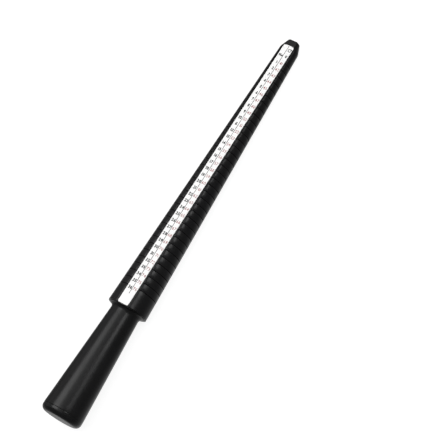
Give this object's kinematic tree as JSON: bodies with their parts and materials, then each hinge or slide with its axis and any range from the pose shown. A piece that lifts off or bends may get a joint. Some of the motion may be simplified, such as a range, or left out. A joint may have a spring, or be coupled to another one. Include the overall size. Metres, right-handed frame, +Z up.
{
  "type": "ring mandrel",
  "caption": "Tapered ring mandrel with grooves for ring sizes, printed scale strips on two flats, and a round handle with a plug-in end cap.",
  "frame": {"origin": "on the table the mandrel lies on, under the middle of its bounding box", "axes": "+X along the mandrel from the handle to the tip, +Z up, square to the scale strip that faces up, +Y across"},
  "size_m": [0.2676, 0.0252, 0.0269],
  "materials": {
    "barrel_plastic": "moulded black ABS, semi-gloss",
    "handle_plastic": "moulded black ABS, semi-gloss with a faint grain",
    "printed_strip": "white printed film, matt",
    "tape": "double-sided adhesive film"
  },
  "bodies": {
    "mandrel": {"barrel": "barrel_plastic", "handle": "handle_plastic", "front_scale": "printed_strip", "back_scale": "printed_strip", "front_scale_tape": "tape", "back_scale_tape": "tape"},
    "end_cap": {"end_cap": "handle_plastic"}
  },
  "joints": [
    {"name": "end_cap_pull", "type": "slide", "parent": "mandrel", "child": "end_cap", "axis": [-0.9992, 0, 0.0395], "range_m": [0, 0.03]}
  ]
}
